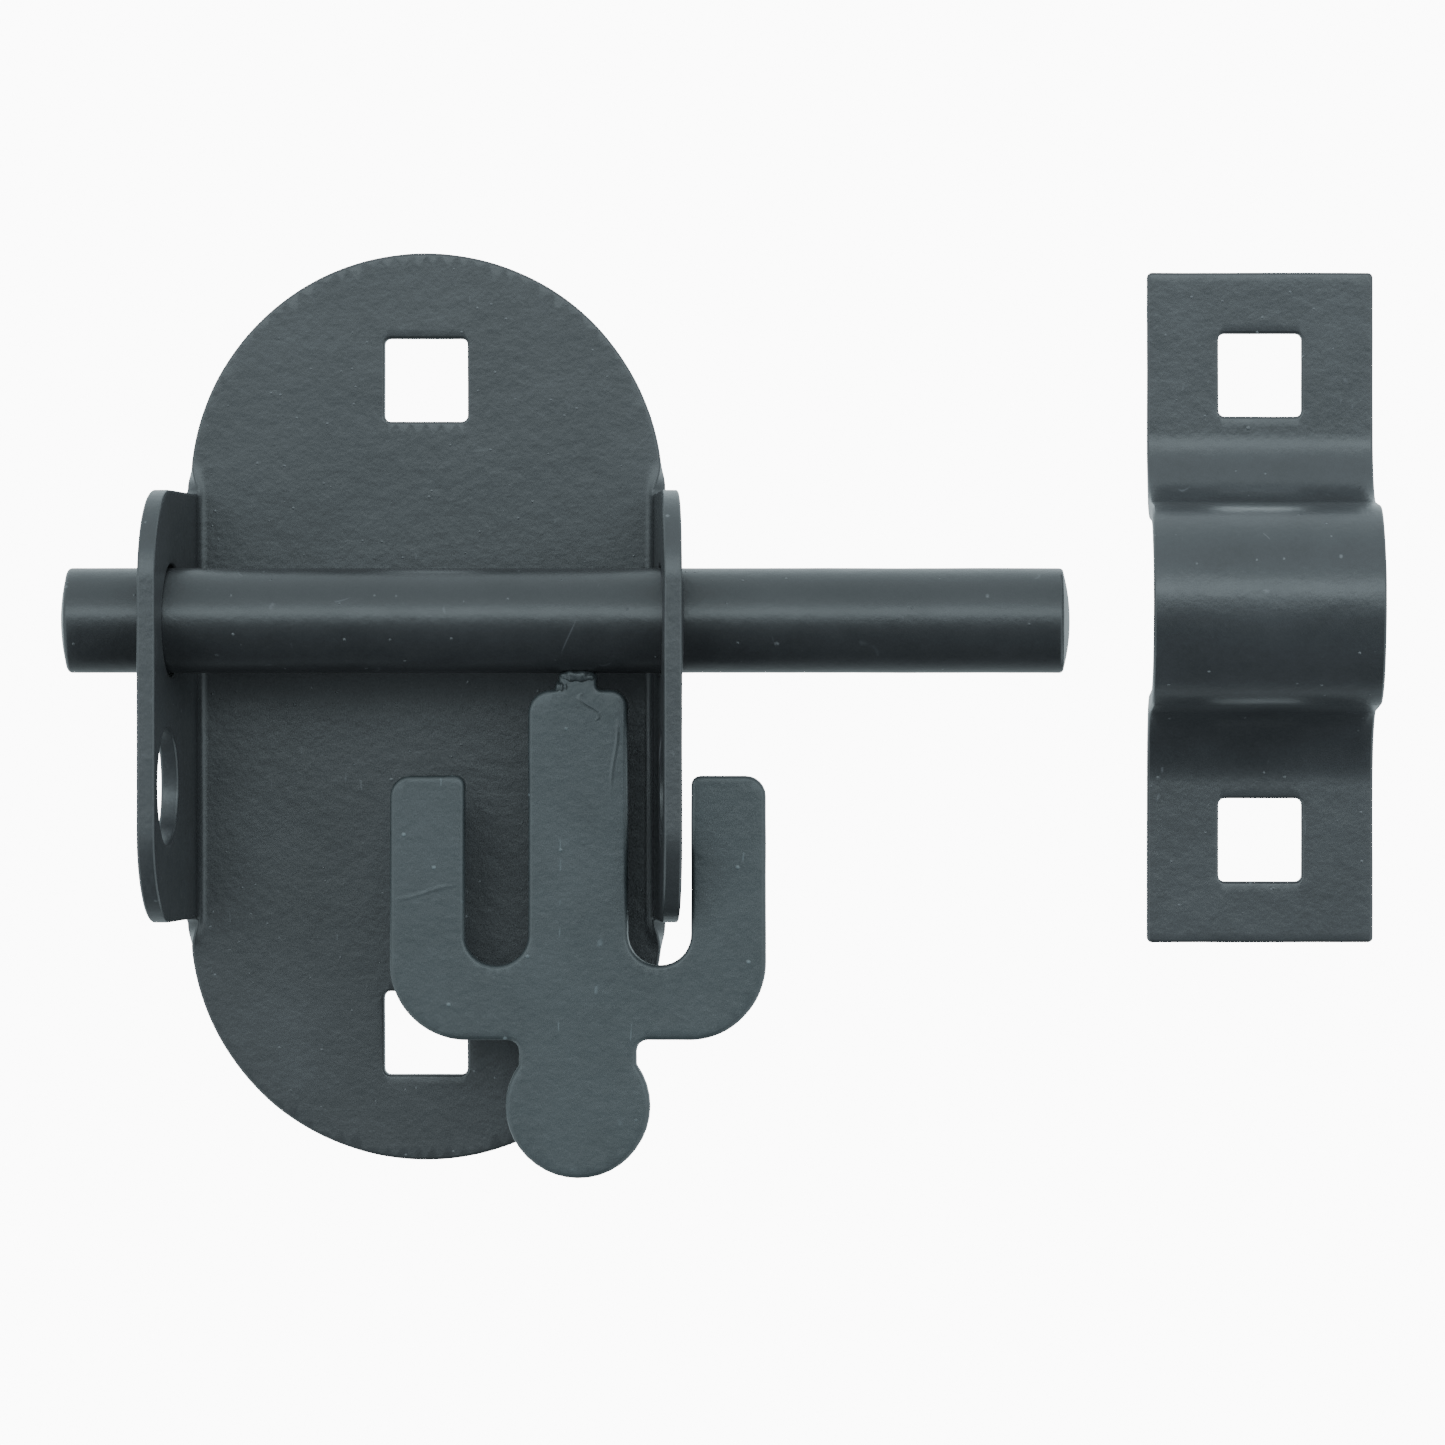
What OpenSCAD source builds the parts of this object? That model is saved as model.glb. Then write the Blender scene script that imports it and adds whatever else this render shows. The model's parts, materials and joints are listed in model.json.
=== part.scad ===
// Oval pad bolt for a gate, with its separate strap keeper.
// X runs along the bolt, Y runs into the gate, Z is up.
// The origin is the centre of the back plate's rear face.

/* [Sheet metal] */
// Thickness of the coated steel sheet
sheet_t = 1.8; // [1.5:0.1:2.2]
// Side of each square bolt hole
square_hole = 8.3; // [6.5:0.1:9]
// Corner radius of each square bolt hole
square_hole_r = 0.6; // [0.3:0.1:1.5]

/* [Back plate] */
// Width of the oval plate
plate_w = 47.2; // [44:0.2:52]
// Height of the oval plate
plate_h = 90.7; // [88:0.1:100]
// Distance between the plate's two bolt holes
plate_hole_gap = 65.3; // [62:0.1:68]

/* [Ears] */
// Height of each ear along the plate's side
ear_h = 42.4; // [38:0.2:43]
// Distance from the plate's rear face to the ears' front edges
ear_depth = 26; // [24.5:0.1:29]
// Angle that each ear leans outwards
ear_splay = 4.5; // [3:0.5:4.5]
// Distance that the ears' roots stand outside the plate's sides
ear_offset = 1; // [0.5:0.1:1]
// Radius on each front corner of an ear
ear_corner_r = 9; // [6:0.5:9.5]
// Inside radius of the bend at an ear's root
ear_bend_r = 1; // [0.8:0.1:2]
// Diameter of the hole that guides the bolt
guide_hole_d = 11; // [10.9:0.1:11.6]
// Diameter of the padlock hole
padlock_hole_d = 11.4; // [8:0.1:11.6]
// Distance of the padlock hole's centre from the plate's rear face
padlock_depth = 18.5; // [17:0.1:18.8]
// Height of the padlock hole's centre above the plate's centre
padlock_z = -7.9; // [-9:0.1:-7]

/* [Bolt] */
// Diameter of the bolt
bolt_d = 10.3; // [9.8:0.1:10.4]
// Distance of the bolt's left end from the plate's centre
bolt_left = 34.7; // [32:0.1:38]
// Distance of the bolt's right end from the plate's centre
bolt_right = 64.1; // [60:0.1:68]
// Rise of the slight dome on each end of the bolt
bolt_dome = 0.9; // [0.4:0.1:1.5]
// Distance of the bolt's axis from the plate's rear face
bolt_depth = 16.5; // [16.3:0.1:17]
// Height of the bolt's axis above the plate's centre
bolt_z = 8.4; // [8:0.1:9]

/* [Handle] */
// Thickness of the flat handle
handle_t = 2.5; // [2:0.1:2.8]
// Distance of the handle's centre line from the plate's centre
handle_x = 15.9; // [15.6:0.1:16.2]
// Width of the middle arm
arm_w = 9.7; // [9:0.1:10.2]
// Width across both side prongs
prong_span = 36.8; // [36:0.2:38]
// Distance between the two prongs' inner edges
prong_gap = 22.2; // [21.8:0.1:22.8]
// Height of the prongs' tops above the plate's centre
prong_top = -6.8; // [-8:0.1:-6.5]
// Height of the two slots' lowest points
slot_bottom = -25.4; // [-26:0.1:-24.8]
// Height of the lower edge under the prongs
yoke_bottom = -32.7; // [-34:0.1:-32]
// Radius on the two lower outer corners
yoke_r = 7.5; // [6:0.5:8.5]
// Radius on the prongs' upper outer corners
prong_r = 2; // [1:0.1:3]
// Height of the arm's shoulders
shoulder_z = 1.6; // [1:0.1:2]
// Width of the neck above the round grip
neck_w = 11.5; // [10:0.1:12]
// Radius of the round grip
grip_r = 7.05; // [6.5:0.05:8]
// Height of the round grip's centre
grip_z = -39.2; // [-41:0.1:-39]

/* [Keeper] */
// Width of the keeper strap
strap_w = 22.6; // [18:0.2:26]
// Overall height of the keeper strap
strap_h = 67; // [64:0.5:76]
// Distance of the keeper's centre from the plate's centre
strap_x = 83.4; // [82:0.1:90]
// Height of the keeper's centre above the plate's centre
strap_z = 9.9; // [9:0.1:10.4]
// Distance between the keeper's two bolt holes
strap_hole_gap = 46.5; // [45:0.5:52]
// Outer radius on each shoulder of the hump
hump_r = 9.8; // [9.2:0.1:10.2]
// Width of the flat between the hump's two shoulders
hump_flat = 0.2; // [0.2:0.1:1.5]
// Lean of the hump's legs
hump_lean = 4; // [2:0.5:5]
// Clear depth inside the hump
hump_depth = 23.2; // [22.2:0.1:24]
// Radius of the hollow bend at the foot of the hump
hump_bend_r = 7; // [4:0.1:7.5]

/* [Hidden] */
$fn = 96;
coat = "#46504f";
cut = 1;
fit_gap = 0.05;
arc_steps = 18;

tenon_w = 3.7;
shoulder_r = 1.6;
neck_fillet = 1;
bead_r = 1.1;
bead_half = 1.9;
bead_spread = 1.6;
edge_r = 0.4;

bend_out_r = ear_bend_r + sheet_t;
bend_x = plate_w / 2 + ear_offset - bend_out_r * cos(ear_splay);

bend_mid_r = ear_bend_r + sheet_t / 2;
bolt_r = bolt_d / 2;
slot_r = (prong_gap - arm_w) / 4;
slot_x = (prong_gap + arm_w) / 4;
root_overlap = 2;
end_overlap = 0.2;

// How far along an ear, from its bend, a point of the given depth lies.
function along_ear(depth) = (depth - bend_out_r + bend_mid_r * sin(ear_splay)) / cos(ear_splay);

// Points round a centre, from one angle to another.
function arc(centre, r, from, to) =
    [for (i = [0:arc_steps]) centre + r * [cos(from + (to - from) * i / arc_steps),
                                           sin(from + (to - from) * i / arc_steps)]];

// A closed outline made from the half of it on one side of the Y axis.
function both_halves(half) = concat(half, [for (i = [len(half) - 1:-1:0]) [-half[i].x, half[i].y]]);

// A square with four equally rounded corners.
module rounded_square(side, r) {
    square([side, side - 2 * r], center = true);
    square([side - 2 * r, side], center = true);
    for (x = [-1, 1], z = [-1, 1])
        translate([x * (side / 2 - r), z * (side / 2 - r)]) circle(r);
}

// Raises a flat outline, drawn as X and Z, to the given thickness in front of Y = 0.
module upright(thickness) {
    rotate([90, 0, 0]) linear_extrude(thickness) children();
}

module oval_outline() {
    straight = plate_h / 2 - plate_w / 2;
    square([plate_w, 2 * straight], center = true);
    for (side = [-1, 1]) translate([0, side * straight]) circle(plate_w / 2);
}

module flat_plate() {
    window_x = bend_x - root_overlap;
    upright(sheet_t) difference() {
        oval_outline();
        for (side = [-1, 1]) {
            translate([side * (window_x + plate_w / 2), 0])
                square([plate_w, ear_h - 2 * end_overlap], center = true);
            translate([0, side * plate_hole_gap / 2]) rounded_square(square_hole, square_hole_r);
        }
    }
}

// The right ear seen from above: the sheet's edge from the plate, round the bend, to past its front.
module ear_section() {
    reach = along_ear(ear_depth) + 2 * cut;
    run = [sin(ear_splay), -cos(ear_splay)];
    out = [cos(ear_splay), sin(ear_splay)];
    centre = [bend_x, -bend_out_r];
    root_x = bend_x - 2 * root_overlap;
    polygon(concat(
        [[root_x, 0]],
        arc(centre, bend_out_r, 90, ear_splay),
        [centre + bend_out_r * out + reach * run, centre + ear_bend_r * out + reach * run],
        arc(centre, ear_bend_r, ear_splay, 90),
        [[root_x, -sheet_t]]
    ));
}

// The right ear seen square on: X runs away from the bend.
module ear_outline() {
    reach = along_ear(ear_depth);
    difference() {
        union() {
            translate([-ear_depth, -ear_h / 2]) square([ear_depth + reach - ear_corner_r, ear_h]);
            translate([0, -ear_h / 2 + ear_corner_r]) square([reach, ear_h - 2 * ear_corner_r]);
            for (side = [-1, 1])
                translate([reach - ear_corner_r, side * (ear_h / 2 - ear_corner_r)]) circle(ear_corner_r);
        }
        translate([along_ear(bolt_depth), bolt_z]) circle(guide_hole_d / 2);
        translate([along_ear(padlock_depth), padlock_z]) circle(padlock_hole_d / 2);
    }
}

module right_ear() {
    intersection() {
        translate([0, 0, -ear_h]) linear_extrude(2 * ear_h) ear_section();
        translate([bend_x, -bend_out_r, 0])
            rotate([0, 0, ear_splay - 90])
            translate([0, -bend_out_r - cut, 0])
            mirror([0, 1, 0])
            upright(plate_w) ear_outline();
    }
}

module back_plate() {
    color(coat) union() {
        flat_plate();
        right_ear();
        mirror([1, 0, 0]) right_ear();
    }
}

// The bolt's domed end, standing up along Z.
module bolt_end() {
    dome_r = (bolt_r * bolt_r + bolt_dome * bolt_dome) / (2 * bolt_dome);
    intersection() {
        cylinder(r = bolt_r, h = 2 * bolt_dome);
        translate([0, 0, bolt_dome - dome_r]) sphere(dome_r, $fn = 240);
        cylinder(r1 = bolt_r + bolt_dome - edge_r, r2 = bolt_r - edge_r, h = bolt_dome);
    }
}

module bolt_rod() {
    shank = bolt_left + bolt_right - 2 * bolt_dome;
    color(coat) translate([bolt_dome - bolt_left, -bolt_depth, bolt_z]) rotate([0, 90, 0]) union() {
        cylinder(r = bolt_r, h = shank);
        translate([0, 0, shank]) bolt_end();
        mirror([0, 0, 1]) bolt_end();
    }
}

// A bar of the given length along X, used to clear room round the bolt.
module bolt_space(gap) {
    translate([-cut, -bolt_depth, bolt_z]) rotate([0, 90, 0]) cylinder(r = bolt_r + gap, h = 4 * handle_x);
}

// The prongs and the yoke that joins them, with no slots.
module yoke_outline() {
    half = prong_span / 2;
    translate([-half, yoke_bottom + yoke_r]) square([prong_span, prong_top - prong_r - yoke_bottom - yoke_r]);
    translate([yoke_r - half, yoke_bottom]) square([prong_span - 2 * yoke_r, prong_top - yoke_bottom]);
    translate([prong_r - half, prong_top - 2 * prong_r]) square([prong_span - 2 * prong_r, 2 * prong_r]);
    for (side = [-1, 1]) {
        translate([side * (half - yoke_r), yoke_bottom + yoke_r]) circle(yoke_r);
        translate([side * (half - prong_r), prong_top - prong_r]) circle(prong_r);
    }
}

module slot_outline(side) {
    translate([side * slot_x, slot_bottom + slot_r]) circle(slot_r);
    translate([side * slot_x - slot_r, slot_bottom + slot_r]) square([2 * slot_r, prong_top - slot_bottom]);
}

module arm_outline() {
    inner = arm_w / 2 - shoulder_r;
    translate([-arm_w / 2, slot_bottom]) square([arm_w, shoulder_z - shoulder_r - slot_bottom]);
    translate([-inner, slot_bottom]) square([2 * inner, shoulder_z - slot_bottom]);
    for (side = [-1, 1]) translate([side * inner, shoulder_z - shoulder_r]) circle(shoulder_r);
    translate([-tenon_w / 2, 0]) square([tenon_w, bolt_z]);
}

module grip_outline() {
    translate([0, grip_z]) circle(grip_r);
    translate([-neck_w / 2, grip_z]) square([neck_w, yoke_bottom - grip_z + cut]);
    difference() {
        translate([-neck_w / 2 - neck_fillet, yoke_bottom - neck_fillet])
            square([neck_w + 2 * neck_fillet, neck_fillet + cut]);
        for (side = [-1, 1])
            translate([side * (neck_w / 2 + neck_fillet), yoke_bottom - neck_fillet]) circle(neck_fillet);
    }
}

module handle_outline() {
    difference() {
        yoke_outline();
        for (side = [-1, 1]) slot_outline(side);
        translate([-slot_x, prong_top - cut / 2]) square([2 * slot_x, cut]);
    }
    arm_outline();
    grip_outline();
}

module handle_plate() {
    color(coat) difference() {
        translate([handle_x, handle_t / 2 - bolt_depth, 0]) upright(handle_t) handle_outline();
        bolt_space(fit_gap);
    }
}

// Two short beads, front and rear, that join the arm's tenon to the bolt.
module handle_weld() {
    color(coat) difference() {
        for (side = [-1, 1])
            translate([handle_x, side * bead_spread - bolt_depth, bolt_z - bolt_r - bead_r / 2]) {
                rotate([0, 90, 0]) cylinder(r = bead_r, h = 2 * bead_half, center = true);
                for (end = [-1, 1]) translate([end * bead_half, 0, 0]) sphere(bead_r);
            }
        bolt_space(fit_gap);
        translate([handle_x, -bolt_depth, shoulder_z]) cube([4 * arm_w, handle_t, 4 * bead_r], center = true);
        translate([handle_x, -bolt_depth, shoulder_z - 2 * bead_r])
            cube([4 * arm_w, handle_t, 4 * bead_r], center = true);
    }
}

// The strap seen end on: X is the height above its centre, and Y the distance from its rear face.
module strap_section() {
    shoulder = [hump_flat / 2, hump_depth + sheet_t - hump_r];
    leg_out = [cos(hump_lean), sin(hump_lean)];
    leg_top = shoulder + hump_r * leg_out;
    foot_y = sheet_t + hump_bend_r;
    leg_foot_y = foot_y - hump_bend_r * leg_out.y;
    leg_foot = [leg_top.x + (leg_top.y - leg_foot_y) * tan(hump_lean), leg_foot_y];
    foot = leg_foot + hump_bend_r * leg_out;
    polygon(both_halves(concat(
        arc(shoulder, hump_r, 90, hump_lean),
        arc(foot, hump_bend_r, 180 + hump_lean, 270),
        [[strap_h / 2, sheet_t], [strap_h / 2, 0]],
        arc(foot, hump_bend_r + sheet_t, 270, 180 + hump_lean),
        arc(shoulder, hump_r - sheet_t, hump_lean, 90)
    )));
}

module keeper_strap() {
    color(coat) translate([strap_x, 0, strap_z]) difference() {
        translate([-strap_w / 2, 0, 0]) rotate([0, 90, 0]) rotate([0, 0, 180])
            linear_extrude(strap_w) strap_section();
        for (side = [-1, 1])
            translate([0, cut, side * strap_hole_gap / 2])
                upright(sheet_t + 2 * cut) rounded_square(square_hole, square_hole_r);
    }
}

back_plate();
bolt_rod();
handle_plate();
handle_weld();
keeper_strap();
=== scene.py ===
"""Looks of an oval pad bolt and its strap keeper: satin black powder coat on bent steel."""
import json
import math

import bmesh
import bpy
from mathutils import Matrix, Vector, geometry, noise


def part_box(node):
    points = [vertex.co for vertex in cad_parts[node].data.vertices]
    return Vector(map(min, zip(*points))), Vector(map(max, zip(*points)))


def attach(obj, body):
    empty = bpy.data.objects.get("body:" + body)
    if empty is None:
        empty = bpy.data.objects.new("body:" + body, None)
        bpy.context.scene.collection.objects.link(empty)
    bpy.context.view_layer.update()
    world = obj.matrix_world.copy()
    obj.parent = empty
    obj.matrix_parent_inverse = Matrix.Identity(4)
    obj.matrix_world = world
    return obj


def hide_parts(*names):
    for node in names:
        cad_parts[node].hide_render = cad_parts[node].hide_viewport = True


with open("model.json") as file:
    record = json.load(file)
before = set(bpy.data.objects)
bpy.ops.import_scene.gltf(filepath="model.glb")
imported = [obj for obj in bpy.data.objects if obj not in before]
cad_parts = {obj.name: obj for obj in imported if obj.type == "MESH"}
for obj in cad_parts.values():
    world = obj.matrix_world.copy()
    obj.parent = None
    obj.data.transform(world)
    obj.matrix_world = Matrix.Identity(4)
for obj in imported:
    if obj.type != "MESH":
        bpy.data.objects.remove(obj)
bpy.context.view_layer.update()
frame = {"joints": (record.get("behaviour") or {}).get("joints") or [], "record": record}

MM = 0.001
RECORD = frame["record"]
MOUNTS = {m["name"]: Vector(m["pos_m"]) for m in RECORD["mounts"]}
TURN = next(j for j in frame["joints"] if j["name"] == "handle_turn")
AXIS = Vector(TURN["pos_m"])

# sizes that the frame's boxes don't give, in metres
SHEET = 1.8 * MM
SQUARE = 8.3 * MM
SQUARE_R = 0.6 * MM
EAR_BEND_R = 1.0 * MM
EAR_SPLAY = math.radians(4.5)
EAR_OUT = 1.0 * MM
EAR_HALF = 21.2 * MM
EAR_CORNER_R = 9.0 * MM
OVAL_HALF_W = 23.6 * MM
GUIDE_R = 5.5 * MM
PADLOCK_R = 5.7 * MM
HUMP_R = 9.8 * MM
HUMP_FLAT = 0.2 * MM
HUMP_LEAN = math.radians(4)
HUMP_BEND_R = 7.0 * MM
EDGE_R = 0.3 * MM
GRIP_R = 7.05 * MM
FADE_RUN = 3.4 * MM


# ---------------------------------------------------------------- outlines

def rounded(corners, step=0.45 * MM):
    """A closed loop through (x, z, radius) corners, with each corner rounded to its radius."""
    loop = []
    count = len(corners)
    for i, (x, z, r) in enumerate(corners):
        here = Vector((x, z))
        before = (Vector(corners[i - 1][:2]) - here).normalized()
        after = (Vector(corners[(i + 1) % count][:2]) - here).normalized()
        half = before.angle(after) / 2
        back = r / math.tan(half)
        centre = here + (before + after).normalized() * (r / math.sin(half))
        start = here + before * back - centre
        end = here + after * back - centre
        sweep = start.angle_signed(end)
        pieces = max(4, int(abs(sweep) * r / step))
        for k in range(pieces + 1):
            turn = -sweep * k / pieces
            c, s = math.cos(turn), math.sin(turn)
            loop.append(centre + Vector((start.x * c - start.y * s, start.x * s + start.y * c)))
    return spaced(loop, step)


def spaced(loop, step):
    """The same loop with points added wherever two are more than a step apart."""
    out = []
    for i, p in enumerate(loop):
        q = loop[(i + 1) % len(loop)]
        pieces = max(1, round((q - p).length / step))
        out += [p.lerp(q, k / pieces) for k in range(pieces)]
    return out


def ring(x, z, r, count=64):
    return [Vector((x + r * math.cos(a), z + r * math.sin(a)))
            for a in (math.tau * k / count for k in range(count))]


def square_hole(x, z):
    h = SQUARE / 2
    corners = ((x - h, z - h), (x + h, z - h), (x + h, z + h), (x - h, z + h))
    return rounded([(*c, SQUARE_R) for c in corners], 0.25 * MM)


def area(loop):
    return sum(p.x * q.y - q.x * p.y for p, q in zip(loop, loop[1:] + loop[:1])) / 2


def inset(loop, distance, hole):
    """The loop moved into the sheet's material by a distance."""
    sign = -1 if hole else 1
    if area(loop) < 0:
        sign = -sign
    out = []
    for i, p in enumerate(loop):
        along = loop[(i + 1) % len(loop)] - loop[i - 1]
        out.append(p + sign * distance * Vector((-along.y, along.x)).normalized())
    return out


# ---------------------------------------------------------------- sheet metal

def inside(point, loop):
    """Whether a point lies within a loop, by counting the edges to its right."""
    odd = False
    for p, q in zip(loop, loop[1:] + loop[:1]):
        if (p.y > point.y) != (q.y > point.y):
            if point.x < p.x + (q.x - p.x) * (point.y - p.y) / (q.y - p.y):
                odd = not odd
    return odd


def far_from(point, loop, gap):
    return all((point - p).length_squared > gap * gap for p in loop)


def grid(columns, rows, loops, gap):
    """The lattice points that lie in the sheet's material, at least a gap from every edge."""
    points = []
    for x in columns:
        near = [[p for p in loop if abs(p.x - x) < gap] for loop in loops]
        for z in rows:
            p = Vector((x, z))
            if all(far_from(p, part, gap) for part in near) and inside(p, loops[0]):
                if not any(inside(p, loop) for loop in loops[1:]):
                    points.append(p)
    return points


def cap(bm, loops, rows_of_verts, y, lattice):
    """Fills a sheet's face with triangles between its loops and the lattice points."""
    verts = [v for row in rows_of_verts for v in row] + [bm.verts.new((p.x, y, p.y)) for p in lattice]
    owner, edges, start = [], [], 0
    for number, loop in enumerate(loops):
        count = len(loop)
        edges += [(start + i, start + (i + 1) % count) for i in range(count)]
        owner += [number] * count
        start += count
    owner += [-1] * len(lattice)
    flat = [Vector((v.co.x, v.co.z)) / MM for v in verts]
    outline = flat[:len(loops[0])]
    made, _, faces, origin, _, _ = geometry.delaunay_2d_cdt(flat, edges, [], 1, 1e-6)
    for face in faces:
        corners = [origin[i][0] for i in face]
        owners = {owner[i] for i in corners}
        if len(owners) == 1:
            number = owners.pop()
            if number > 0:
                continue
            if number == 0 and not inside(sum((flat[i] for i in corners), Vector((0, 0))) / 3, outline):
                continue
        bm.faces.new([verts[i] for i in corners])


def sheet(name, outer, holes, thick, edge_front, edge_back, columns, rows):
    """A flat plate from y=-thick to y=0 with rounded edges, meshed on a lattice so that it can be bent."""
    bm = bmesh.new()
    quarter = [math.pi / 2 * k / 4 for k in range(5)]
    profile = [(edge_front * (1 - math.sin(a)), -thick + edge_front * (1 - math.cos(a))) for a in quarter]
    profile += [(edge_back * (1 - math.cos(a)), -edge_back * (1 - math.sin(a))) for a in quarter]
    loops = [outer] + holes
    front, back = [], []
    for number, loop in enumerate(loops):
        rings = []
        for move, y in profile:
            points = inset(loop, move, number > 0) if move else loop
            rings.append([bm.verts.new((p.x, y, p.y)) for p in points])
        front.append(rings[0])
        back.append(rings[-1])
        for low, high in zip(rings, rings[1:]):
            for i in range(len(low)):
                j = (i + 1) % len(low)
                bm.faces.new((low[i], low[j], high[j], high[i]))
    lattice = grid(columns, rows, loops, 0.7 * MM)
    cap(bm, loops, front, -thick, lattice)
    cap(bm, loops, back, 0, lattice)
    bmesh.ops.recalc_face_normals(bm, faces=bm.faces[:])
    mesh = bpy.data.meshes.new(name)
    bm.to_mesh(mesh)
    bm.free()
    piece = bpy.data.objects.new(name, mesh)
    bpy.context.scene.collection.objects.link(piece)
    return piece


def places(low, high, step):
    count = max(1, round((high - low) / step))
    return [low + (high - low) * k / count for k in range(count + 1)]


def move_points(piece, rule):
    for v in piece.data.vertices:
        v.co = rule(v.co)


def roughen(piece, seed, sizes=((9 * MM, 0.035 * MM), (2.6 * MM, 0.012 * MM))):
    """The slight waviness of coated metal, moved into the mesh along its normals."""
    shift = Vector((seed * 7.3, seed * 3.1, seed * 5.7))
    normals = [v.normal.copy() for v in piece.data.vertices]
    for v, normal in zip(piece.data.vertices, normals):
        depth = sum(amount * noise.noise(v.co / size + shift) for size, amount in sizes)
        v.co += normal * depth


def finish_piece(piece, node, body, material):
    piece.data.shade_smooth()
    weighted = piece.modifiers.new("even_shading", "WEIGHTED_NORMAL")
    weighted.mode = "FACE_AREA"
    weighted.weight = 50
    piece.data.materials.clear()
    piece.data.materials.append(material)
    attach(piece, body)
    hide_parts(node)


# ---------------------------------------------------------------- pieces

def smooth_step(x):
    x = min(1, max(0, x))
    return x * x * (3 - 2 * x)


def ear_bend_x():
    return OVAL_HALF_W + EAR_OUT - (EAR_BEND_R + SHEET) * math.cos(EAR_SPLAY)


NEUTRAL_R = EAR_BEND_R + SHEET / 2
BEND_ANGLE = math.pi / 2 - EAR_SPLAY
BEND_RUN = NEUTRAL_R * BEND_ANGLE


def unrolled(depth):
    """How far from the plate's centre a point of the ear at that depth lies on the flat blank."""
    out = EAR_BEND_R + SHEET
    along = (depth - out + NEUTRAL_R * math.sin(EAR_SPLAY)) / math.cos(EAR_SPLAY)
    return ear_bend_x() + BEND_RUN + along


def fold_ears(co):
    """Bends the flat blank's sides forward. Past the ears' ends the bend fades back to flat."""
    side = 1 if co.x > 0 else -1
    past = abs(co.x) - ear_bend_x()
    fold = 1 - smooth_step((abs(co.z) - EAR_HALF + 0.1 * MM) / FADE_RUN)
    if past <= 0 or fold < 0.001:
        return co
    radius = NEUTRAL_R / fold
    angle = min(past, BEND_RUN) / radius
    straight = max(0, past - BEND_RUN)
    offset = co.y + SHEET / 2
    x = ear_bend_x() + (radius + offset) * math.sin(angle) + straight * math.cos(angle)
    y = -SHEET / 2 - radius + (radius + offset) * math.cos(angle) - straight * math.sin(angle)
    return Vector((side * x, y, co.z))


def burr(co):
    """The lip that the punch left round the bolt's guide holes, on the ears' outer faces."""
    away = math.hypot(abs(co.x) - unrolled(-AXIS.y), co.z - AXIS.z) - GUIDE_R
    if co.y > -SHEET * 0.55 and abs(co.x) > ear_bend_x():
        co = co + Vector((0, 0.35 * MM * (1 - smooth_step(away / (1.3 * MM))), 0))
    return co


def make_back_plate():
    low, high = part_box("back_plate")
    half_h = high.z
    reach = unrolled(-low.y - SHEET / 2 * math.sin(EAR_SPLAY))
    end_r = OVAL_HALF_W - 0.01 * MM
    right = [
        (OVAL_HALF_W, -half_h, end_r), (OVAL_HALF_W, -EAR_HALF, 0.5 * MM),
        (reach, -EAR_HALF, EAR_CORNER_R), (reach, EAR_HALF, EAR_CORNER_R),
        (OVAL_HALF_W, EAR_HALF, 0.5 * MM), (OVAL_HALF_W, half_h, end_r),
    ]
    left = [(-x, z, r) for x, z, r in reversed(right)]
    padlock = MOUNTS["padlock_hole_right"]
    holes = [square_hole(0, MOUNTS["plate_bolt_hole_" + end].z) for end in ("upper", "lower")]
    for side in (-1, 1):
        holes.append(ring(side * unrolled(-AXIS.y), AXIS.z, GUIDE_R))
        holes.append(ring(side * unrolled(-padlock.y), padlock.z, PADLOCK_R))
    bend_zone = places(ear_bend_x(), ear_bend_x() + BEND_RUN, 0.25 * MM)
    cuts_x = places(-ear_bend_x(), ear_bend_x(), 1.5 * MM) + places(bend_zone[-1], reach, 1.5 * MM)
    cuts_x += bend_zone + [-x for x in bend_zone + places(bend_zone[-1], reach, 1.5 * MM)]
    fade = places(EAR_HALF - 0.2 * MM, EAR_HALF + FADE_RUN, 0.3 * MM)
    cuts_z = places(-half_h, half_h, 1.5 * MM) + fade + [-z for z in fade]
    piece = sheet("back_plate_coated", rounded(right + left), holes, SHEET, EDGE_R, EDGE_R,
                  cuts_x, cuts_z)
    move_points(piece, burr)
    move_points(piece, fold_ears)
    roughen(piece, 1)
    return piece


def make_bolt_rod():
    low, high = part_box("bolt_rod")
    r = (high.z - low.z) / 2
    dome, edge = 0.9 * MM, 0.45 * MM
    profile = []
    for k in range(9):
        across = (r - edge) * k / 8
        profile.append((dome * (across / r) ** 2 * 0.8, across))
    foot_x = profile[-1][0]
    for k in range(1, 6):
        a = math.pi / 2 * k / 5
        profile.append((foot_x + edge * (1 - math.cos(a)), r - edge + edge * math.sin(a)))
    left = [(low.x + x, y) for x, y in profile]
    right = [(high.x - x, y) for x, y in reversed(profile)]
    middle = [(x, r) for x in places(left[-1][0], right[0][0], 1.2 * MM)[1:-1]]
    bm = bmesh.new()
    count = 96
    rows = []
    for x, radius in left[1:] + middle + right[:-1]:
        rows.append([bm.verts.new((x, AXIS.y + radius * math.sin(math.tau * k / count),
                                   AXIS.z + radius * math.cos(math.tau * k / count))) for k in range(count)])
    for a, b in zip(rows, rows[1:]):
        for k in range(count):
            m = (k + 1) % count
            bm.faces.new((a[k], a[m], b[m], b[k]))
    for row, x in ((rows[0], low.x), (rows[-1], high.x)):
        tip = bm.verts.new((x, AXIS.y, AXIS.z))
        for k in range(count):
            bm.faces.new((row[k], row[(k + 1) % count], tip))
    bmesh.ops.recalc_face_normals(bm, faces=bm.faces[:])
    mesh = bpy.data.meshes.new("bolt_rod_coated")
    bm.to_mesh(mesh)
    bm.free()
    piece = bpy.data.objects.new("bolt_rod_coated", mesh)
    bpy.context.scene.collection.objects.link(piece)
    roughen(piece, 2, ((7 * MM, 0.02 * MM), (2.2 * MM, 0.012 * MM)))
    return piece


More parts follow.
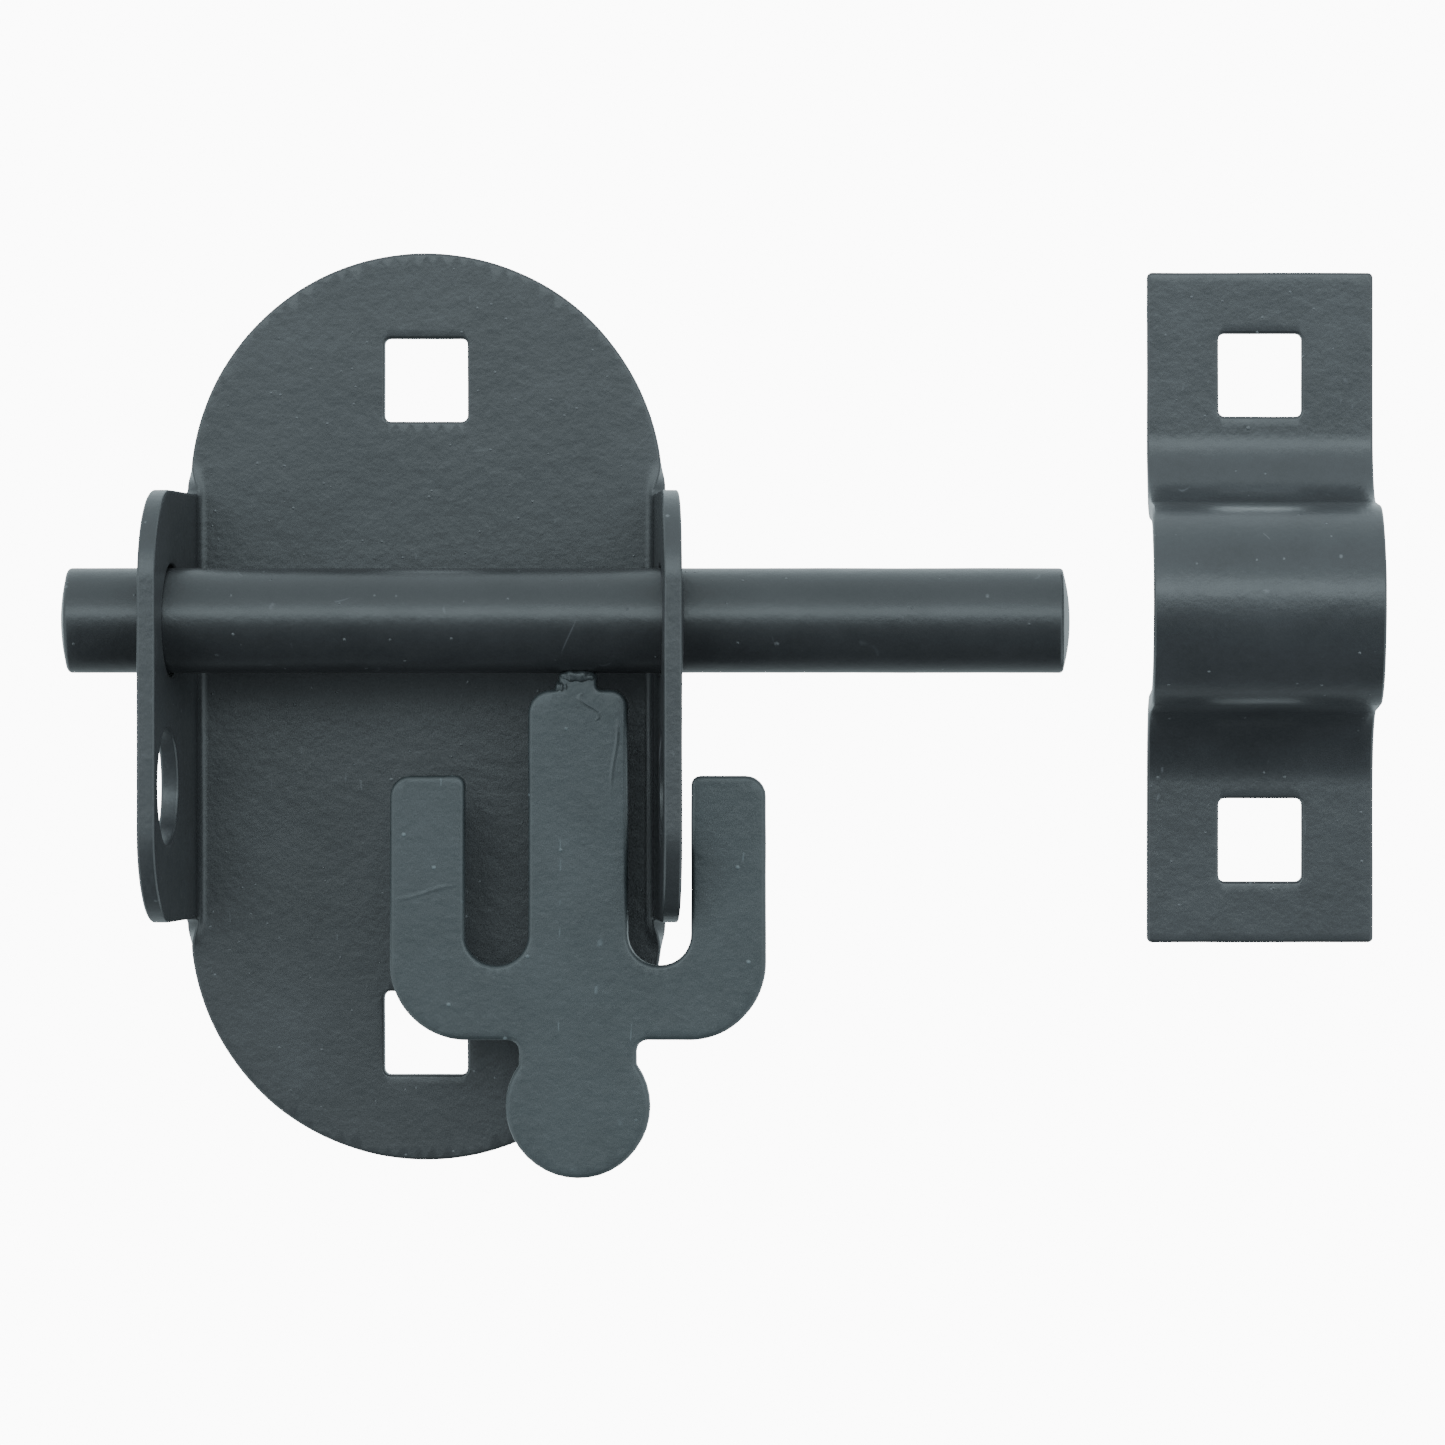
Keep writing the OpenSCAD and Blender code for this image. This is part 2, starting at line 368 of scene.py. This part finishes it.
def handle_outline():
    low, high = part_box("handle_plate")
    x0 = (low.x + high.x) / 2
    span = (high.x - low.x) / 2
    grip_z = low.z + GRIP_R
    arm, inner, neck, tenon = 4.85 * MM, 11.1 * MM, 5.75 * MM, 1.85 * MM
    shoulder, tops, slots, yoke = 1.6 * MM, -6.8 * MM, -25.4 * MM, -32.7 * MM
    slot_r = (inner - arm) / 2 * 0.99
    right = [
        (tenon, high.z, 0.5 * MM), (tenon, shoulder, 0.5 * MM), (arm, shoulder, 1.6 * MM),
        (arm, slots, slot_r), (inner, slots, slot_r), (inner, tops, 0.9 * MM), (span, tops, 2 * MM),
        (span, yoke, 7.5 * MM), (neck, yoke, 1.1 * MM),
    ]
    start = math.asin(neck / GRIP_R)
    grip = [(GRIP_R * math.sin(a), grip_z + GRIP_R * math.cos(a), 0.5 * MM)
            for a in (start + (math.pi - start) * k / 14 for k in range(14))]
    right += grip + [(0.001 * MM, low.z, 0.5 * MM)]
    left = [(-x, z, r) for x, z, r in reversed(right[:-1])]
    left[-2] = (-tenon, shoulder, 0.5 * MM)
    left[-3] = (-arm, shoulder, 2.3 * MM)
    return [(x0 + x, z, r) for x, z, r in right + left]


def make_handle_plate():
    low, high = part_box("handle_plate")
    thick = high.y - low.y
    piece = sheet("handle_plate_coated", rounded(handle_outline()), [], thick, 0.45 * MM, 0.35 * MM,
                  places(low.x, high.x, 1.2 * MM), places(low.z, high.z, 1.2 * MM))
    move_points(piece, lambda co: co + Vector((0, high.y, 0)))
    roughen(piece, 3, ((8 * MM, 0.05 * MM), (2.4 * MM, 0.015 * MM)))
    return piece


def add_bead(bm, centre, half, r, phase):
    """A lumpy bead of weld along X, with rounded ends."""
    around, count = 40, 40
    rows = []
    for k in range(1, count):
        t = -math.cos(math.pi * k / count)
        bulge = r * math.sqrt(1 - t ** 4) * (1 + 0.12 * math.sin(9 * t + phase))
        rows.append([bm.verts.new(centre + Vector((t * half, bulge * math.cos(math.tau * i / around),
                                                   bulge * math.sin(math.tau * i / around))))
                     for i in range(around)])
    for a, b in zip(rows, rows[1:]):
        for i in range(around):
            j = (i + 1) % around
            bm.faces.new((a[i], a[j], b[j], b[i]))
    for row, x in ((rows[0], -half), (rows[-1], half)):
        tip = bm.verts.new(centre + Vector((x, 0, 0)))
        for i in range(around):
            bm.faces.new((row[i], row[(i + 1) % around], tip))


def make_handle_weld():
    """Beads before and behind the arm's tenon, under the bolt, and a spatter on the left shoulder."""
    low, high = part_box("handle_weld")
    top = Vector(((low.x + high.x) / 2, AXIS.y, high.z))
    bm = bmesh.new()
    for side in (-1, 1):
        add_bead(bm, top + Vector((0, side * 1.1 * MM, -0.75 * MM)), 1.7 * MM, 0.6 * MM, side)
    add_bead(bm, top + Vector((-1.5 * MM, -0.9 * MM, -1.7 * MM)), 0.7 * MM, 0.55 * MM, 2)
    bmesh.ops.recalc_face_normals(bm, faces=bm.faces[:])
    mesh = bpy.data.meshes.new("handle_weld_coated")
    bm.to_mesh(mesh)
    bm.free()
    piece = bpy.data.objects.new("handle_weld_coated", mesh)
    bpy.context.scene.collection.objects.link(piece)
    roughen(piece, 4, ((1.6 * MM, 0.14 * MM), (0.6 * MM, 0.12 * MM)))
    return piece


def leg_length(depth):
    """The straight stretch of the hump's leg, between its shoulder and its foot."""
    full = math.pi / 2 - HUMP_LEAN
    fall = (HUMP_R - SHEET / 2 + HUMP_BEND_R + SHEET / 2) * (1 - math.cos(full))
    return (depth - SHEET - fall) / math.sin(full)


def strap_path(v, depth):
    """Where a point at distance v along the unrolled strap's middle lies: height, depth and turn."""
    full = math.pi / 2 - HUMP_LEAN
    crown, foot = HUMP_R - SHEET / 2, HUMP_BEND_R + SHEET / 2
    bends = ((HUMP_FLAT / 2, 0), (crown, 1), (leg_length(depth), 0), (foot, -1))
    side = 1 if v >= 0 else -1
    left = abs(v)
    z, y, turn = 0.0, depth - SHEET / 2, 0.0
    for size, way in bends:
        go = min(left, size * full if way else size)
        if way:
            middle = Vector((z - way * size * math.sin(turn), y - way * size * math.cos(turn)))
            turn += way * go / size
            z, y = middle.x + way * size * math.sin(turn), middle.y + way * size * math.cos(turn)
        else:
            z, y = z + go * math.cos(turn), y - go * math.sin(turn)
        left -= go
    return side * (z + left), y, side * turn


def make_keeper_strap():
    low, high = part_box("keeper_strap")
    centre_z = (low.z + high.z) / 2
    half_w, half_h = (high.x - low.x) / 2, (high.z - low.z) / 2
    centre_x = (low.x + high.x) / 2
    depth = high.y - low.y
    far = 40 * MM
    tab_start = far - strap_path(far, depth)[0]
    half_v = half_h + tab_start
    hole_v = MOUNTS["keeper_bolt_hole_upper"].z - centre_z + tab_start
    corners = ((half_w, -half_v), (half_w, half_v), (-half_w, half_v), (-half_w, -half_v))
    outer = rounded([(x, z, 0.5 * MM) for x, z in corners])
    holes = [square_hole(0, side * hole_v) for side in (-1, 1)]
    piece = sheet("keeper_strap_coated", outer, holes, SHEET, EDGE_R, EDGE_R,
                  places(-half_w, half_w, 1.5 * MM), places(-half_v, half_v, 0.5 * MM))

    def fold(co):
        z, y, turn = strap_path(co.z, depth)
        offset = -co.y - SHEET / 2
        return Vector((centre_x + co.x, -(y + offset * math.cos(turn)),
                       centre_z + z + offset * math.sin(turn)))

    move_points(piece, fold)
    roughen(piece, 5)
    return piece


# ---------------------------------------------------------------- materials

class Nodes:
    """Short names for building a material's nodes."""

    def __init__(self, name):
        self.material = bpy.data.materials.new(name)
        self.material.use_nodes = True
        self.tree = self.material.node_tree
        self.tree.nodes.clear()
        self.place = self.add("ShaderNodeTexCoord").outputs["Object"]

    def add(self, kind, **values):
        node = self.tree.nodes.new(kind)
        for name, value in values.items():
            setattr(node, name, value)
        return node

    def link(self, start, end):
        self.tree.links.new(start, end)

    def noise(self, size, detail=2.0, rough=0.5, place=None):
        node = self.add("ShaderNodeTexNoise")
        node.inputs["Scale"].default_value = 1 / size
        node.inputs["Detail"].default_value = detail
        node.inputs["Roughness"].default_value = rough
        self.link(place or self.place, node.inputs["Vector"])
        return node.outputs["Fac"]

    def grey(self, source, low, high):
        """1 where the source is above high, 0 below low."""
        node = self.add("ShaderNodeMapRange", clamp=True)
        node.inputs["From Min"].default_value = low
        node.inputs["From Max"].default_value = high
        self.link(source, node.inputs["Value"])
        return node.outputs["Result"]

    def mix(self, factor, a, b):
        node = self.add("ShaderNodeMix", data_type="RGBA")
        self.link(factor, node.inputs["Factor"])
        for socket, value in ((node.inputs["A"], a), (node.inputs["B"], b)):
            if isinstance(value, tuple):
                socket.default_value = (*value, 1)
            else:
                self.link(value, socket)
        return node.outputs["Result"]

    def maths(self, operation, a, b):
        node = self.add("ShaderNodeMath", operation=operation)
        for socket, value in zip(node.inputs, (a, b)):
            if isinstance(value, (int, float)):
                socket.default_value = value
            else:
                self.link(value, socket)
        return node.outputs["Value"]

    def bump(self, height, strength, distance, normal=None):
        node = self.add("ShaderNodeBump")
        node.inputs["Strength"].default_value = strength
        node.inputs["Distance"].default_value = distance
        self.link(height, node.inputs["Height"])
        if normal:
            self.link(normal, node.inputs["Normal"])
        return node.outputs["Normal"]


def scratches(n, seed, length, width, level):
    """Short faint scuffs, found where a much stretched noise crosses one value, in a few patches only."""
    turned = n.add("ShaderNodeMapping")
    turned.inputs["Location"].default_value = (seed * 0.013, seed * 0.007, seed * 0.011)
    turned.inputs["Rotation"].default_value = (0.4 * seed, 0.9 + 0.7 * seed, 0.2)
    turned.inputs["Scale"].default_value = (1.0, 1.0, 0.08)
    n.link(n.place, turned.inputs["Vector"])
    field = n.noise(length, 0.0, 0.5, turned.outputs["Vector"])
    away = n.maths("ABSOLUTE", n.maths("SUBTRACT", field, 0.5), 0)
    line = n.maths("SUBTRACT", 1.0, n.grey(away, 0.0, width))
    patch = n.grey(n.noise(2.2 * MM, 1.0, 0.5), level, level + 0.06)
    return n.maths("MULTIPLY", line, patch)


def dust_nibs(n, spacing, size, level):
    """Small round specks, one in some of the cells of a random pattern."""
    cells = n.add("ShaderNodeTexVoronoi", feature="F1")
    cells.inputs["Scale"].default_value = 1 / spacing
    n.link(n.place, cells.inputs["Vector"])
    near = n.maths("SUBTRACT", 1.0, n.grey(cells.outputs["Distance"], size * 0.3, size))
    chosen = n.grey(cells.outputs["Color"], level, level + 0.02)
    return n.maths("MULTIPLY", near, chosen)


def ridge(n, across, along, centre, size, sway, width, wave=5.0):
    """A line along one axis that sways across the other. Its wave is the angle that it goes through."""
    low, high = centre[1] - size / 2, centre[1] + size / 2
    swing = n.maths("SINE", n.maths("MULTIPLY", n.maths("SUBTRACT", along, centre[1]), wave / size), 0)
    middle = n.maths("ADD", n.maths("MULTIPLY", swing, sway), centre[0])
    away = n.maths("ABSOLUTE", n.maths("SUBTRACT", across, middle), 0)
    line = n.maths("SUBTRACT", 1.0, n.grey(away, 0.0, width))
    start = n.grey(along, low, low + size / 4)
    end = n.maths("SUBTRACT", 1.0, n.grey(along, high - size / 4, high))
    return n.maths("MULTIPLY", line, n.maths("MULTIPLY", start, end))


def split_axes(n):
    axes = n.add("ShaderNodeSeparateXYZ")
    n.link(n.place, axes.inputs["Vector"])
    return axes.outputs["X"], axes.outputs["Y"], axes.outputs["Z"]


def bolt_scratch(n):
    """One slanting scratch on the front of the bolt, just above the handle."""
    x, y, z = split_axes(n)
    line = ridge(n, x, z, (AXIS.x - 0.7 * MM, AXIS.z - 1.6 * MM), 3.6 * MM, 1.1 * MM, 0.1 * MM, 1.6)
    return n.maths("MULTIPLY", line, n.maths("LESS_THAN", y, AXIS.y))


def paint_ridges(n):
    """The wrinkles in the handle's paint: below the weld, down the arm's side and on the left prong."""
    x, y, z = split_axes(n)
    front = n.grey(y, AXIS.y - 1.2 * MM, AXIS.y - 1.0 * MM)
    weld = ridge(n, x, z, (AXIS.x + 1.1 * MM, -0.1 * MM), 2.8 * MM, -1.0 * MM, 0.26 * MM)
    side = ridge(n, x, z, (AXIS.x + 3.6 * MM, -5.0 * MM), 8 * MM, 0.3 * MM, 0.25 * MM)
    prong = ridge(n, z, x, (-18.2 * MM, AXIS.x - 14.8 * MM), 7 * MM, 0.7 * MM, 0.3 * MM, 3.4)
    all_three = n.maths("MAXIMUM", weld, n.maths("MAXIMUM", side, n.maths("MULTIPLY", prong, 0.22)))
    return n.maths("MULTIPLY", all_three, n.maths("SUBTRACT", 1.0, front))


def powder_coat(name, shade, rough, peel=1.0, ridges=None, mark=None):
    """Satin black powder coat: orange peel, faint clouding, dust nibs and fine scuffs."""
    n = Nodes(name)
    shader = n.add("ShaderNodeBsdfPrincipled")
    out = n.add("ShaderNodeOutputMaterial")
    n.link(shader.outputs["BSDF"], out.inputs["Surface"])
    dark, pale, light = (tuple(c * k for c in shade) for k in (0.8, 1.2, 5.0))
    clouds = n.grey(n.noise(9 * MM, 4.0, 0.6), 0.3, 0.7)
    grain = n.grey(n.noise(0.5 * MM, 3.0, 0.7), 0.35, 0.75)
    coat = n.mix(clouds, dark, pale)
    coat = n.mix(n.maths("MULTIPLY", grain, 0.3), coat, tuple(c * 1.6 for c in shade))
    nibs = n.maths("MAXIMUM", dust_nibs(n, 3.3 * MM, 0.075, 0.56), dust_nibs(n, 1.4 * MM, 0.11, 0.64))
    lines = n.maths("MULTIPLY", scratches(n, 1, 4 * MM, 0.012, 0.66), 0.6)
    if mark:
        lines = n.maths("MAXIMUM", lines, n.maths("MULTIPLY", mark(n), 0.8))
    worn = n.maths("MULTIPLY", n.maths("MAXIMUM", nibs, lines), 0.7)
    n.link(n.mix(worn, coat, light), shader.inputs["Base Color"])
    gloss = n.add("ShaderNodeMapRange")
    gloss.inputs["To Min"].default_value = rough - 0.06
    gloss.inputs["To Max"].default_value = rough + 0.07
    n.link(n.noise(3.0 * MM, 4.0, 0.65), gloss.inputs["Value"])
    n.link(gloss.outputs["Result"], shader.inputs["Roughness"])
    shader.inputs["Specular IOR Level"].default_value = 0.5
    normal = n.bump(n.noise(1.1 * MM, 2.0, 0.5), 0.5 * peel, 0.07 * MM)
    normal = n.bump(n.noise(0.35 * MM, 2.0, 0.5), 0.35 * peel, 0.03 * MM, normal)
    normal = n.bump(nibs, 0.6, 0.1 * MM, normal)
    if ridges:
        normal = n.bump(ridges(n), 0.8, 0.12 * MM, normal)
    n.link(normal, shader.inputs["Normal"])
    return n.material


# ---------------------------------------------------------------- stage

# brightness of the sky at angles round the X axis: 0 is towards the camera, 90 is up, +-180 is behind
SKY = ((-180, 0.2), (-150, 0.13), (-120, 0.11), (-98, 0.025), (-80, 0.006), (-30, 0.01), (-8, 0.07),
       (0, 0.15),
       (5, 0.25), (11, 0.8), (16, 1.0), (22, 0.82), (32, 0.35), (60, 0.305), (120, 0.32), (150, 0.35),
       (180, 0.24))
# brightness to each side by how far sideways a direction points, and how much of the sky is left there
GLOW = ((0, 0), (0.28, 0.02), (0.42, 0.28), (0.6, 0.36), (0.85, 0.36), (1, 0.25))
FADE = ((0, 1), (0.6, 1), (0.95, 0.4))
SKY_STRENGTH = 5.5
SKY_TINT = (0.80, 0.95, 1.0)
BACKDROP_STRENGTH = 11


def grey_ramp(tree, source, stops):
    """A node that turns a value from 0 to 1 into a brightness, by straight steps between stops."""
    node = tree.nodes.new("ShaderNodeValToRGB")
    while len(node.color_ramp.elements) < len(stops):
        node.color_ramp.elements.new(0.5)
    for element, (at, value) in zip(node.color_ramp.elements, stops):
        element.position = at
        element.color = (value, value, value, 1)
    tree.links.new(source, node.inputs["Fac"])
    return node.outputs["Color"]


def sum_up(tree, operation, *values):
    """A maths node's result, for sockets or plain numbers."""
    node = tree.nodes.new("ShaderNodeMath")
    node.operation = operation
    for socket, value in zip(node.inputs, values):
        if isinstance(value, (int, float)):
            socket.default_value = value
        else:
            tree.links.new(value, socket)
    return node.outputs["Value"]


def white_world():
    """White for the camera. For the light, a sky that changes with the angle round the X axis:
    a soft band just above the camera, a pale ceiling, a white wall behind and little from below."""
    world = bpy.data.worlds.new("studio")
    bpy.context.scene.world = world
    world.use_nodes = True
    tree = world.node_tree
    tree.nodes.clear()
    place = tree.nodes.new("ShaderNodeTexCoord")
    split = tree.nodes.new("ShaderNodeSeparateXYZ")
    tree.links.new(place.outputs["Generated"], split.inputs["Vector"])
    front = sum_up(tree, "MULTIPLY", split.outputs["Y"], -1)
    angle = sum_up(tree, "ARCTAN2", split.outputs["Z"], front)
    share = sum_up(tree, "MULTIPLY_ADD", angle, 0.5 / math.pi, 0.5)
    bands = grey_ramp(tree, share, [((degrees + 180) / 360, value) for degrees, value in SKY])
    sideways = sum_up(tree, "ABSOLUTE", split.outputs["X"])
    faded = sum_up(tree, "MULTIPLY", bands, grey_ramp(tree, sideways, FADE))
    level = sum_up(tree, "MAXIMUM", faded, grey_ramp(tree, sideways, GLOW))
    soft = tree.nodes.new("ShaderNodeBackground")
    soft.inputs["Color"].default_value = (*SKY_TINT, 1)
    tree.links.new(sum_up(tree, "MULTIPLY", level, SKY_STRENGTH), soft.inputs["Strength"])
    backdrop = tree.nodes.new("ShaderNodeBackground")
    backdrop.inputs["Color"].default_value = (1, 1, 1, 1)
    backdrop.inputs["Strength"].default_value = BACKDROP_STRENGTH
    ray = tree.nodes.new("ShaderNodeLightPath")
    choose = tree.nodes.new("ShaderNodeMixShader")
    out = tree.nodes.new("ShaderNodeOutputWorld")
    tree.links.new(ray.outputs["Is Camera Ray"], choose.inputs["Fac"])
    tree.links.new(soft.outputs["Background"], choose.inputs[1])
    tree.links.new(backdrop.outputs["Background"], choose.inputs[2])
    tree.links.new(choose.outputs["Shader"], out.inputs["Surface"])


VIEW_WIDTH = 144.5 * MM
VIEW_CENTRE = Vector((29.65 * MM, -SHEET, -1.6 * MM))
CAMERA_RIGHT = 20.35 * MM
CAMERA_AWAY = 745 * MM


def make_camera():
    data = bpy.data.cameras.new("camera")
    data.sensor_width = 36
    data.lens = 36 * CAMERA_AWAY / VIEW_WIDTH
    data.shift_x = -CAMERA_RIGHT / VIEW_WIDTH
    data.clip_start = 0.01
    camera = bpy.data.objects.new("camera", data)
    camera.location = VIEW_CENTRE + Vector((CAMERA_RIGHT, -CAMERA_AWAY, 0))
    camera.rotation_euler = (math.pi / 2, 0, 0)
    bpy.context.scene.collection.objects.link(camera)
    bpy.context.scene.camera = camera


def build():
    plate_coat = powder_coat("plate_powder_coat", (0.021, 0.0215, 0.023), 0.33)
    bolt_coat = powder_coat("bolt_powder_coat", (0.0145, 0.0147, 0.016), 0.33, peel=0.8,
                            mark=bolt_scratch)
    handle_coat = powder_coat("handle_powder_coat", (0.022, 0.026, 0.028), 0.42, peel=1.3,
                              ridges=paint_ridges)
    weld_coat = powder_coat("weld_powder_coat", (0.02, 0.023, 0.025), 0.42, peel=1.2)
    keeper_coat = powder_coat("keeper_powder_coat", (0.024, 0.0245, 0.0265), 0.3)
    finish_piece(make_back_plate(), "back_plate", "plate", plate_coat)
    finish_piece(make_bolt_rod(), "bolt_rod", "bolt", bolt_coat)
    finish_piece(make_handle_plate(), "handle_plate", "handle", handle_coat)
    finish_piece(make_handle_weld(), "handle_weld", "handle", weld_coat)
    finish_piece(make_keeper_strap(), "keeper_strap", "keeper", keeper_coat)
    white_world()
    make_camera()


build()
